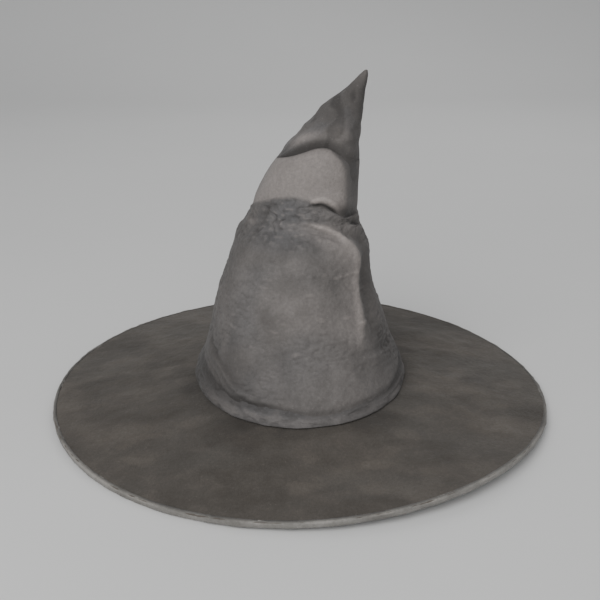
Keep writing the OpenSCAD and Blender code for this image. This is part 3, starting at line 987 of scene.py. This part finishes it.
def hoop(name, material, first, last, radius, bore, columns, side_points=12):
    """Wire or tube that follows the brim's edge between two angles. A bore makes it a tube; a wire is
    closed at its ends by rings that shrink to a point."""
    angle = np.linspace(first, last, columns)[:, None]
    height = brim_top(angle, np.array([0.0, 0.0135]))[:, 1:, 2] - WIRE_DEPTH
    turn = np.radians(np.arange(side_points) * 360 / side_points)[None, :]

    def rings(size):
        r = BRIM_R - WIRE_INSET + size * np.cos(turn)
        return ellipse(angle, r, r, height + size * np.sin(turn))

    if bore:
        points = np.concatenate([rings(radius), rings(bore)[::-1]], 0)
    else:
        swell = np.full((columns, 1), radius)
        swell[[0, -1]] = 0.0
        points = rings(swell)
    faces = grid_faces(side_points, len(points), bool(bore))
    piece = make_piece(name, points.transpose(1, 0, 2).reshape(-1, 3), faces, material, "base")
    return piece if bore else close_poles(piece)


show_for(hoop("edge_wire_hoop", spring_steel, 91, 449, 0.6, 0, 360), "wire", "brim_edge_wire")
show_for(hoop("edge_wire_joiner", joiner_brass, 87.3, 92.7, 0.85, 0.65, 12, 16), "joiner", "brim_wire_joiner")

# -------- inside of the hat

SWEAT_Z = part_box("sweatband")[0].z / MM
SWEAT_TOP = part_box("sweatband")[1].z / MM
LINING_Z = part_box("lining_top")[0].z / MM

# how far inside the crown's plain wall the back and the face of the sweatband and of the lining lie
BAND_BACK, BAND_FACE = 3.4, 4.6
LINING_BACK, LINING_FACE = 2.8, 3.3

# thicknesses
CANVAS_T, CLOTH_T, RIBBON_T, LABEL_T = 0.6, 0.5, 0.35, 0.3


def inside_wall(angle, z, off):
    """A surface off millimetres inside the crown's plain wall, and further in above the foot to clear
    its folds. It runs straight down below the foot."""
    wall = crown_surface(angle, np.maximum(z, FOOT_Z))
    wall[..., 2] = z
    off = np.asarray(off + 3.2 * ease(z, FOOT_Z + 2, FOOT_Z + 24))
    return wall - unit(ellipse(angle, 1 / HOLE_X, 1 / HOLE_Y, 0.0)) * off[..., None]


def make_interlining(name, low, high, off, body):
    """A plain cone of canvas between the felt and the lining."""
    angle, z = over_grid(144, np.linspace(low, high, 24))
    outside, inside = inside_wall(angle, z, off), inside_wall(angle, z, off + CANVAS_T)
    return ring_piece(name, np.concatenate([outside, inside[:, ::-1]], 1), canvas, body)


canvas_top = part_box("crown_interlining")[1].z / MM
lower_canvas = make_interlining("interlining_lower", FOOT_Z + FOOT_GAP, canvas_top, 2.1, "base")
show_for(lower_canvas, "interlining", "crown_interlining")
middle_canvas = make_interlining("interlining_middle", 193, 205, 3.2, "middle")
show_for(middle_canvas, "interlining", "middle_interlining")


def make_sweatband():
    """A strip of leather with rolled edges that stands inside the crown and waves a little."""
    angle, z = over_grid(300, np.linspace(SWEAT_Z, SWEAT_TOP, 26))
    sway = 0.9 + 0.5 * waves(angle, z, 5, 80, 81) + 0.12 * waves(angle, z, 24, 12, 82)
    swell = np.maximum(ease(z, SWEAT_Z + 6, SWEAT_TOP) * sway, 0.0)
    behind = inside_wall(angle, z, BAND_BACK + swell)
    front = inside_wall(angle, z, BAND_FACE + swell - 0.25 * hill(z, SWEAT_Z + 2, 1.2))
    bottom = (behind[:, :1] + front[:, :1]) / 2 - (0, 0, 0.5)
    top = (behind[:, -1:] + front[:, -1:]) / 2 + (0, 0, 0.5)
    points = np.concatenate([behind, top, front[:, ::-1], bottom], 1)
    return ring_piece("sweatband_strip", points, band_leather, "base")


show_for(make_sweatband(), "sweatband", "sweatband")


def make_stitches():
    """Stitches along the sweatband's lower edge, end to end with small gaps. Each is a six-sided thread
    with blunt ends that lies along the edge."""
    count, length, radius = 132, 3.0, 0.32
    angle, z = turns(count), np.full(count, SWEAT_Z + 2.4)
    centre = inside_wall(angle, z, 4.45)
    way = unit(inside_wall(angle + 1, z, 4.45) - centre)
    side = unit(np.cross(way, np.array([0, 0, 1.0])))
    over = np.cross(side, way)
    k = np.linspace(-1, 1, 6)
    fat = radius * np.sqrt(np.clip(1 - k**4, 0.02, 1))
    turn = np.radians(np.arange(6) * 60)[:, None]
    centre, way, side, over = (each[:, None, None] for each in (centre, way, side, over))
    points = centre + way * (k * length / 2)[:, None]
    points = points + side * (np.cos(turn) * fat)[..., None] + over * (np.sin(turn) * fat)[..., None]
    caps = np.array([[0, 6, 12, 18], [0, 18, 24, 30], [5, 23, 17, 11], [5, 35, 29, 23]])
    one = np.concatenate([grid_faces(6, 6, False)[:, ::-1], caps])
    faces = (one[None] + 36 * np.arange(count)[:, None, None]).reshape(-1, 4)
    return make_piece("sweatband_stitching", points.reshape(-1, 3), faces, waxed_thread, "base")


show_for(make_stitches(), "thread", "sweatband_stitches")


def make_lining():
    """Side lining: cloth gathered at its foot, with soft upright pleats that fade towards the top."""
    angle, z = over_grid(360, np.linspace(FOOT_Z + 0.4, LINING_Z + 0.2, 60))
    up = (z - FOOT_Z) / (LINING_Z - FOOT_Z)
    pleat = np.abs(np.sin(np.radians(angle) * 13 + 0.6 * waves(angle, z, 3, 90, 91))) ** 0.6
    slack = 2.6 * pleat * np.sin(np.pi * np.clip(up, 0, 1)) ** 0.7
    slack = np.maximum(slack + 0.5 * waves(angle, z, 9, 30, 92) * up * (1 - up), 0)
    face = inside_wall(angle, z, LINING_FACE + slack * (1 - 0.3 * up))
    back = inside_wall(angle, z, LINING_BACK)
    return ring_piece("lining_wall", np.concatenate([back[:, ::4], face[:, ::-1]], 1), lining_weave, "base")


lining_wall = show_for(make_lining(), "lining", "lining_side")


def make_lining_top():
    """Top of the lining: an oval of cloth that sags a little and puckers towards its edge."""
    angle, s = over_grid(240, np.linspace(0, 1, 40))
    edge = inside_wall(angle[:, :1], LINING_Z, 3.0)
    middle = np.array([edge[..., 0].mean(), 0, 0])
    pucker = 0.7 * np.sin(np.radians(angle) * 26) * s**3 * (1 - s) * 4
    low = middle + (edge - middle) * s[..., None]
    low[..., 2] = LINING_Z - 2.2 * (1 - s**2) + pucker + waves(angle, s * 60, 4, 70, 93) * s * (1 - s)
    points = np.concatenate([low[:, ::-1], low + (0, 0, CLOTH_T)], 1)[:, ::-1]
    return close_poles(ring_piece("lining_crown_top", points, lining_weave, "base"))


lining_lid = show_for(make_lining_top(), "lining", "lining_top")


def strip(name, path, across, width, thick, material):
    """A flat ribbon: path[k] is its middle line and across the way over its width. The section is a
    thin rectangle with slightly raised selvedges."""
    along = np.gradient(path, axis=0)
    face = unit(np.cross(along, across))[:, None]
    w = np.linspace(-0.5, 0.5, 9)[None, :, None]
    lift = (0.5 + 0.25 * (np.abs(w) > 0.4)) * thick
    flat = path[:, None] + np.broadcast_to(across, path.shape)[:, None] * w * np.reshape(width, (-1, 1, 1))
    loop = np.concatenate([flat + face * lift, (flat - face * lift)[:, ::-1]], 1)
    n, m = loop.shape[:2]
    piece = make_piece(name, loop.transpose(1, 0, 2).reshape(-1, 3), grid_faces(m, n, False), material)
    work = bmesh.new()
    work.from_mesh(piece.data)
    bmesh.ops.holes_fill(work, edges=[e for e in work.edges if e.is_boundary], sides=0)
    bmesh.ops.recalc_face_normals(work, faces=work.faces)
    work.to_mesh(piece.data)
    work.free()
    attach(piece, "base")
    return piece


def on_band(angle, z, off):
    """A place on the inside of the sweatband with the ways along it, up it and away from it."""
    here = inside_wall(angle, z, off)
    along = unit(inside_wall(angle - 0.5, z, off) - inside_wall(angle + 0.5, z, off))
    up = unit(inside_wall(angle, z + 1, off) - here)
    return here, along, up, np.cross(along, up)


def make_bow():
    """A small flat bow: two loops that leave the knot and come back, and a knot of ribbon round them."""
    here, along, up, away = on_band(90.0, SWEAT_Z + 20, BAND_FACE + 2.4)
    if away[1] > 0:
        away = -away
    t = np.linspace(0, 2 * np.pi, 40)
    reach, puff, tilt = 10.5 * np.sin(t / 2) ** 1.2, 1.2 * np.sin(t), 1.6 * np.sin(t / 2)
    for name, side in ("bow_loop_left", -1), ("bow_loop_right", 1):
        path = here + np.outer(side * reach, along) + np.outer(puff, away) + np.outer(side * tilt, up)
        yield strip(name, path, up, 3.2 + 3.6 * np.sin(t / 2) ** 2, RIBBON_T, grosgrain)
    t = np.linspace(0, 2 * np.pi, 24)
    path = here + np.outer(1.7 * np.cos(t), along) + np.outer(1.7 * np.sin(t), away)
    yield strip("bow_knot", path, up, 4.2, RIBBON_T, grosgrain)


for piece in make_bow():
    show_for(piece, "ribbon", "sweatband_bow")


def make_label():
    """A blank woven tab that follows the sweatband, sewn at its two ends."""
    k = np.linspace(-1, 1, 24)
    path, _, up, _ = on_band(57 - 4.4 * k, SWEAT_Z + 16, 5.5 + 0.5 * (1 - k * k))
    return strip("blank_size_label", path, up, 10.0, LABEL_T, label_weave)


label = show_for(make_label(), "label", "size_label")


def make_wadding():
    """A tuft of fibre that fills the tip: the tip's own shape drawn in, with soft lumps."""
    columns = 120
    angle, z = over_grid(columns, np.linspace(219, 268, 50))
    base = tip_surface(angle, z)
    middle = xyz(shift(TIP_OUTLINE, z), 0.0, z)
    radius = half_width(TIP_OUTLINE, z)
    keep = np.clip((radius - 4.2 + 0.7 * waves(angle, z, 5, 18, 95)) / radius, 0.05, 1)
    keep = keep * (0.35 + 0.65 * ease(z, 217, 226)) * (1 - 0.9 * ease(z, 262, 268.5))
    side = middle + (base - middle) * keep[..., None]
    bottom, top = (np.repeat(side[:, row:row + 1].mean(0, keepdims=True) + (0, 0, lift), columns, 0)
                   for row, lift in ((0, -0.6), (49, 0.6)))
    points = np.concatenate([bottom, side, top], 1)
    return close_poles(ring_piece("tip_wadding_tuft", points, wadding_fibre, close_across=False))


wadding = show_for(make_wadding(), "wadding", "tip_wadding")
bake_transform(wadding)

paint_node("sweatband_reed", reed_plastic)

# -------- floor


def add_floor():
    """A pale sweep: flat under the hat, curving up far behind it."""
    m = Material("pale_floor", roughness=0.8, specular=0.2)
    tone = m.noise(m.place(), 3, 3)
    pale = m.finish(m.mix(tone, (0.74, 0.74, 0.73), (0.78, 0.78, 0.77)))
    columns = 80
    u = np.linspace(-1, 1, columns)
    z = float(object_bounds()[0][2]) / MM + 2600 * np.maximum(0, u - 0.45) ** 2 / 0.3
    points = xyz(np.array([[-4000], [4000]]), np.where(u < 0, u * 4000, u * 3500), z)
    j = np.arange(columns - 1)
    faces = np.stack([j, columns + j, columns + 1 + j, j + 1], -1)
    make_piece("floor", points.reshape(-1, 3), faces, pale)


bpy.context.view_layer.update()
add_floor()
